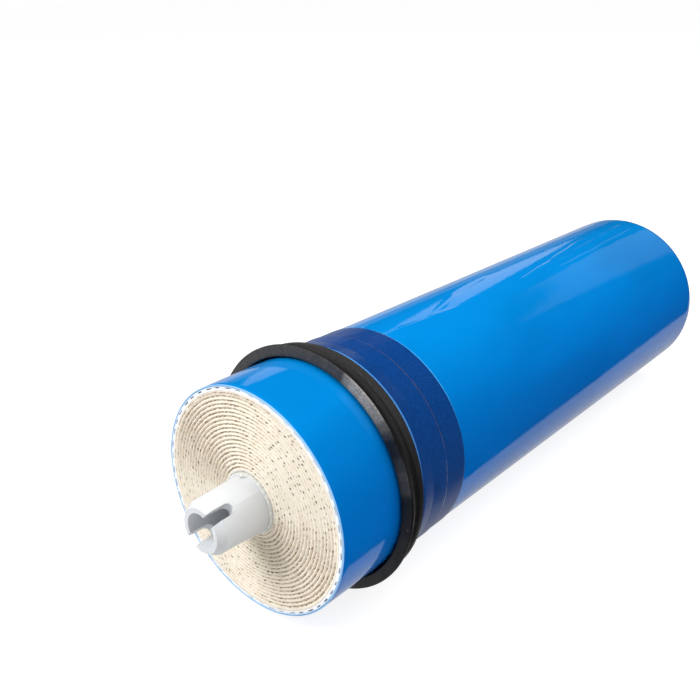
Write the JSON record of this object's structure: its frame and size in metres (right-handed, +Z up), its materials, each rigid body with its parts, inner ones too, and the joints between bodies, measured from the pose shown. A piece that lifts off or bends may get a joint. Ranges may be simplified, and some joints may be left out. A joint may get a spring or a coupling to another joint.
{
  "type": "ro membrane element",
  "caption": "Spiral-wound reverse-osmosis membrane element with slotted product tube, blue wrap, rubber brine seal, taped skirt and O-ring spigot.",
  "frame": {"origin": "under the middle of the element's length, level with the lowest point of the brine seal's lip", "axes": "+Y along the element from the slotted feed end to the O-ring spigot, +Z up, +X to the side"},
  "size_m": [0.0852, 0.298, 0.0852],
  "materials": {
    "tube_plastic": "pale grey moulded plastic, satin",
    "carrier_cloth": "pale grey knitted permeate carrier set in glue",
    "leaf_edges": "cut edges of the wound leaves, cream with brown shadows",
    "net_plastic": "white extruded spacer net",
    "wrap_film": "bright blue glossy stretch film",
    "seal_rubber": "black moulded rubber, slightly porous",
    "tape_film": "dark blue adhesive tape, fine grain",
    "ring_rubber": "black rubber cord"
  },
  "bodies": {
    "root": {"core_tube": "tube_plastic", "carrier_wrap": "carrier_cloth", "membrane_roll": "leaf_edges", "outer_net": "net_plastic", "film_wrap": "wrap_film", "brine_seal": "seal_rubber", "seal_tape": "tape_film", "wrap_tape": "tape_film", "outer_o_ring": "ring_rubber", "inner_o_ring": "ring_rubber"}
  },
  "joints": []
}
